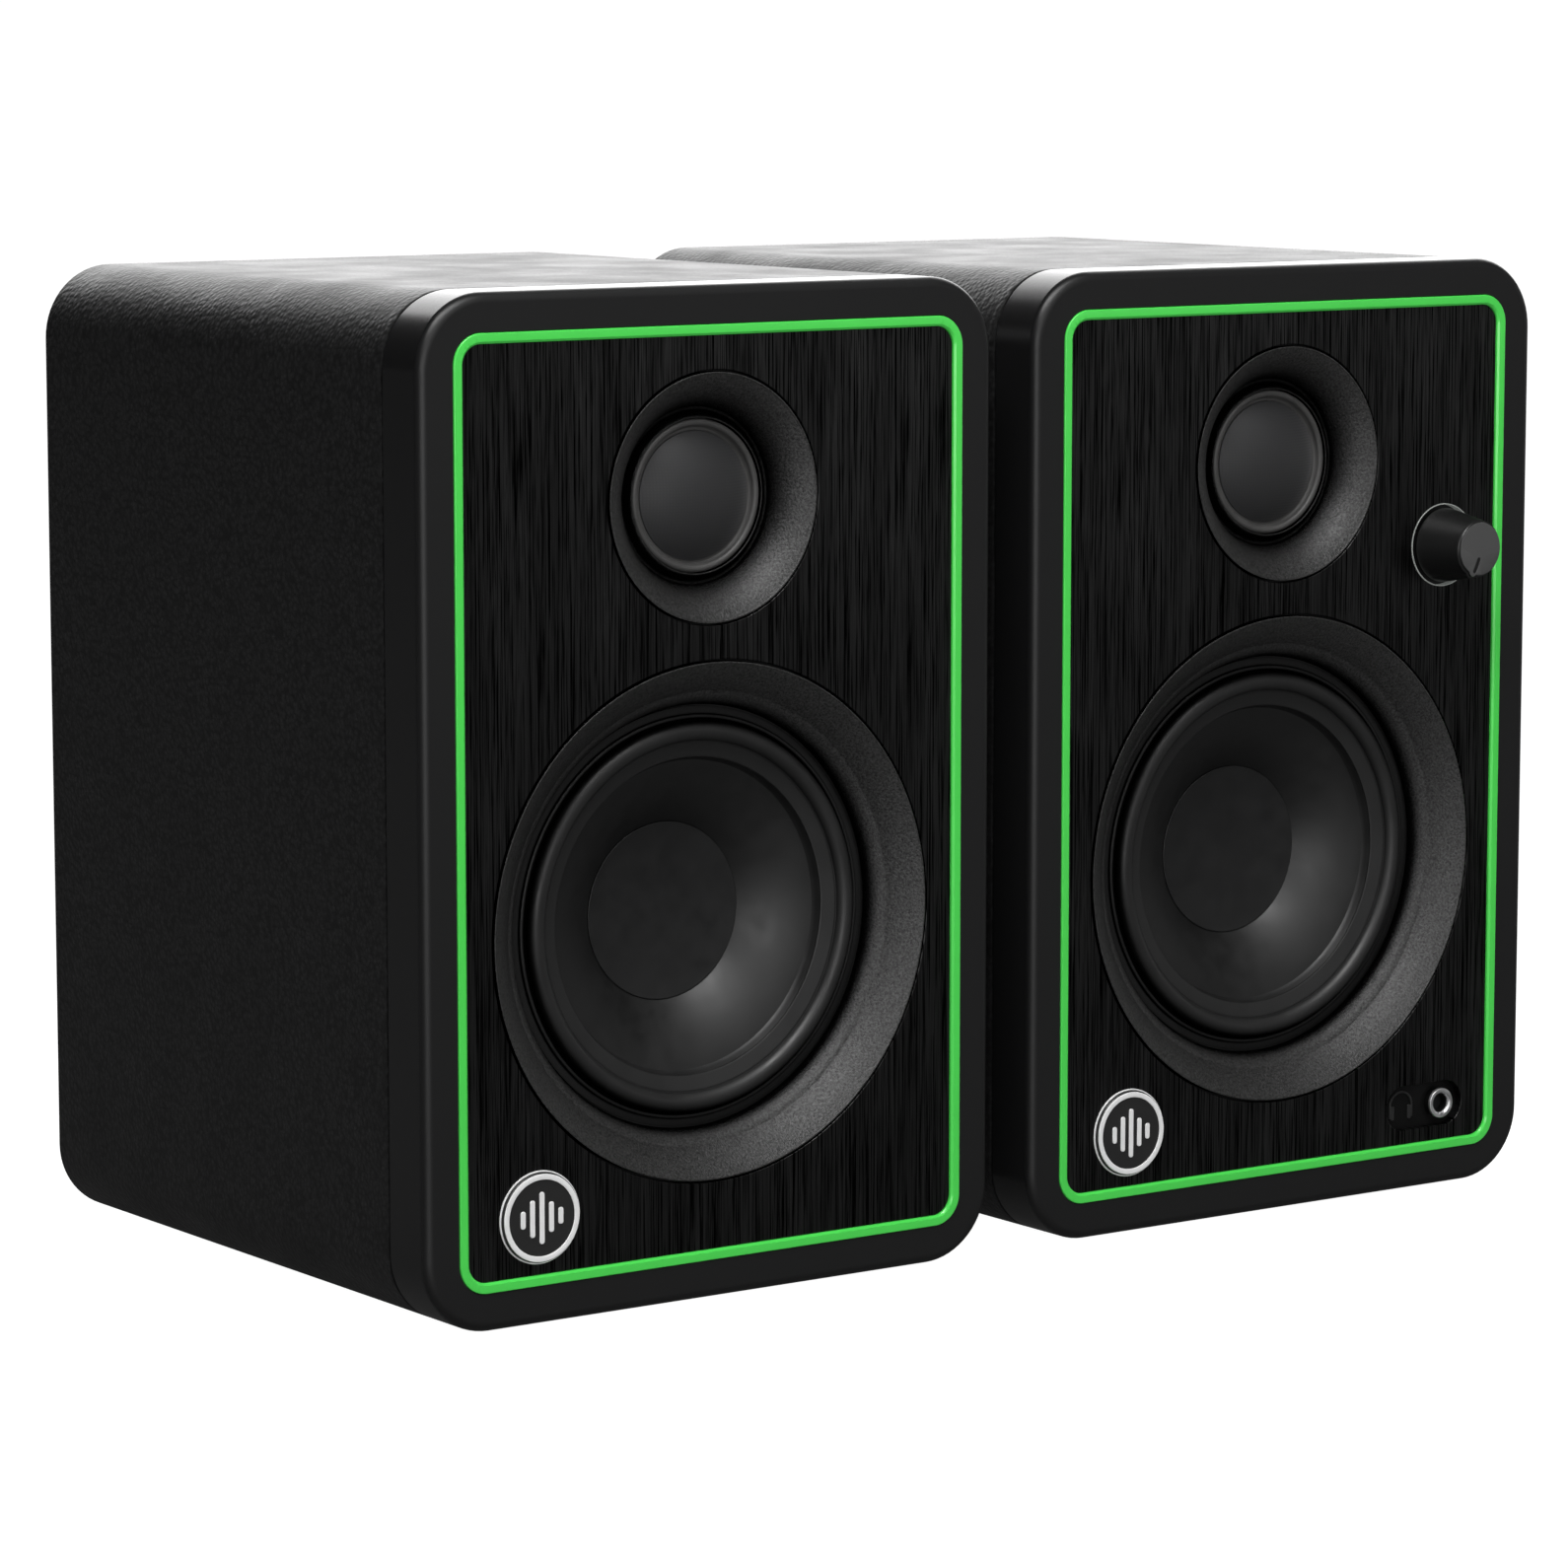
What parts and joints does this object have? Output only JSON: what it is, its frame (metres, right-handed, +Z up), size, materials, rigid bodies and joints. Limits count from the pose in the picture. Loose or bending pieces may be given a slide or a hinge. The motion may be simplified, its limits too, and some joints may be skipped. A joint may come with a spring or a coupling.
{
  "type": "desktop speaker pair",
  "caption": "Pair of two-way desktop speakers with a green front trim line; one is powered and has a volume knob and a headphone socket.",
  "frame": {"origin": "on the desk, under the middle of the pair's bounding box, which is midway between the two cabinets", "axes": "+X from the passive left speaker to the powered right speaker, +Y from the fronts to the backs, +Z up"},
  "size_m": [0.291, 0.1756, 0.209],
  "materials": {
    "vinyl_wrap": "fibreboard wrapped in black vinyl with a fine pebble grain",
    "satin_black_plastic": "satin moulded black",
    "green_trim": "bright green, glossy",
    "brushed_black_panel": "black, brushed vertically",
    "white_badge": "dark grey with raised white marks",
    "textured_black_plastic": "satin black with a fine spark texture",
    "black_steel": "black powder coat",
    "rubber_surround": "soft satin rubber",
    "cone_polymer": "smooth satin polymer",
    "coil_former": "copper wire on foil",
    "spider_cloth": "impregnated woven cloth",
    "ferrite": "dark ground ferrite",
    "zinc_steel": "zinc plated",
    "silk_dome": "coated silk with a soft sheen",
    "port_plastic": "satin moulded black",
    "foot_rubber": "matt rubber",
    "black_screw_steel": "black oxide",
    "red_plastic": "gloss red",
    "black_gloss_plastic": "gloss black",
    "circuit_board": "green solder mask",
    "painted_plate": "fine black powder coat",
    "nickel_connector": "bright nickel",
    "transformer_core": "varnished steel laminations",
    "light_ring": "translucent white light guide",
    "knob_plastic": "satin moulded black",
    "chrome_ring": "polished chrome"
  },
  "bodies": {
    "right_speaker": {"right_cabinet": "vinyl_wrap", "right_front_bezel": "satin_black_plastic", "right_trim_ring": "green_trim", "right_front_panel": "brushed_black_panel", "right_badge": "white_badge", "right_woofer_flare": "textured_black_plastic", "right_woofer_basket": "black_steel", "right_woofer_surround": "rubber_surround", "right_woofer_spider": "spider_cloth", "right_woofer_magnet": "ferrite", "right_woofer_pole_pieces": "zinc_steel", "right_tweeter_flare": "textured_black_plastic", "right_tweeter_surround": "silk_dome", "right_tweeter_motor": "zinc_steel", "right_port_tube": "port_plastic", "right_feet": "foot_rubber", "right_screws": "black_screw_steel", "right_amp_plate": "painted_plate", "right_phono_sockets": "nickel_connector", "right_power_inlet": "black_gloss_plastic", "right_amplifier_board": "circuit_board", "right_transformer": "transformer_core", "right_knob_ring": "light_ring", "right_volume_pot_body": "zinc_steel", "right_headphone_jack": "black_gloss_plastic", "right_jack_nut": "chrome_ring"},
    "left_speaker": {"left_cabinet": "vinyl_wrap", "left_front_bezel": "satin_black_plastic", "left_trim_ring": "green_trim", "left_front_panel": "brushed_black_panel", "left_badge": "white_badge", "left_woofer_flare": "textured_black_plastic", "left_woofer_basket": "black_steel", "left_woofer_surround": "rubber_surround", "left_woofer_spider": "spider_cloth", "left_woofer_magnet": "ferrite", "left_woofer_pole_pieces": "zinc_steel", "left_tweeter_flare": "textured_black_plastic", "left_tweeter_surround": "silk_dome", "left_tweeter_motor": "zinc_steel", "left_port_tube": "port_plastic", "left_feet": "foot_rubber", "left_screws": "black_screw_steel", "left_terminal_plate": "port_plastic", "left_crossover": "circuit_board"},
    "left_woofer": {"left_woofer_cone": "cone_polymer", "left_woofer_dust_cap": "cone_polymer", "left_woofer_voice_coil": "coil_former"},
    "left_tweeter": {"left_tweeter_dome": "silk_dome"},
    "left_lever_red": {"left_terminal_lever_red": "red_plastic"},
    "left_lever_black": {"left_terminal_lever_black": "black_gloss_plastic"},
    "right_woofer": {"right_woofer_cone": "cone_polymer", "right_woofer_dust_cap": "cone_polymer", "right_woofer_voice_coil": "coil_former"},
    "right_tweeter": {"right_tweeter_dome": "silk_dome"},
    "right_lever_red": {"right_terminal_lever_red": "red_plastic"},
    "right_lever_black": {"right_terminal_lever_black": "black_gloss_plastic"},
    "volume": {"right_volume_knob": "knob_plastic", "right_volume_pot_shaft": "zinc_steel"},
    "position_slider": {"right_position_switch": "black_gloss_plastic"}
  },
  "joints": [
    {"name": "speaker_spacing", "type": "slide", "parent": "right_speaker", "child": "left_speaker", "axis": [-1, 0, 0], "range_m": [0, 0.3]},
    {"name": "volume_turn", "type": "hinge", "parent": "right_speaker", "child": "volume", "pos_m": [0.1206, -0.07615, 0.1461], "axis": [0, 1, 0], "range_deg": [0, 300]},
    {"name": "position_switch_slide", "type": "slide", "parent": "right_speaker", "child": "position_slider", "axis": [1, 0, 0], "range_m": [0, 0.004]},
    {"name": "left_woofer_travel", "type": "slide", "parent": "left_speaker", "child": "left_woofer", "axis": [0, 1, 0], "range_m": [-0.003, 0.003], "deforming": ["left_woofer_surround", "left_woofer_spider"]},
    {"name": "left_tweeter_travel", "type": "slide", "parent": "left_speaker", "child": "left_tweeter", "axis": [0, 1, 0], "range_m": [-0.0003, 0.0003], "deforming": ["left_tweeter_surround"]},
    {"name": "left_lever_red_press", "type": "hinge", "parent": "left_speaker", "child": "left_lever_red", "pos_m": [-0.083, 0.07425, 0.049], "axis": [-1, 0, 0], "range_deg": [0, 22]},
    {"name": "left_lever_black_press", "type": "hinge", "parent": "left_speaker", "child": "left_lever_black", "pos_m": [-0.068, 0.07425, 0.049], "axis": [-1, 0, 0], "range_deg": [0, 22]},
    {"name": "right_woofer_travel", "type": "slide", "parent": "right_speaker", "child": "right_woofer", "axis": [0, 1, 0], "range_m": [-0.003, 0.003], "deforming": ["right_woofer_surround", "right_woofer_spider"]},
    {"name": "right_tweeter_travel", "type": "slide", "parent": "right_speaker", "child": "right_tweeter", "axis": [0, 1, 0], "range_m": [-0.0003, 0.0003], "deforming": ["right_tweeter_surround"]},
    {"name": "right_lever_red_press", "type": "hinge", "parent": "right_speaker", "child": "right_lever_red", "pos_m": [0.094, 0.07425, 0.098], "axis": [-1, 0, 0], "range_deg": [0, 22]},
    {"name": "right_lever_black_press", "type": "hinge", "parent": "right_speaker", "child": "right_lever_black", "pos_m": [0.109, 0.07425, 0.098], "axis": [-1, 0, 0], "range_deg": [0, 22]}
  ]
}
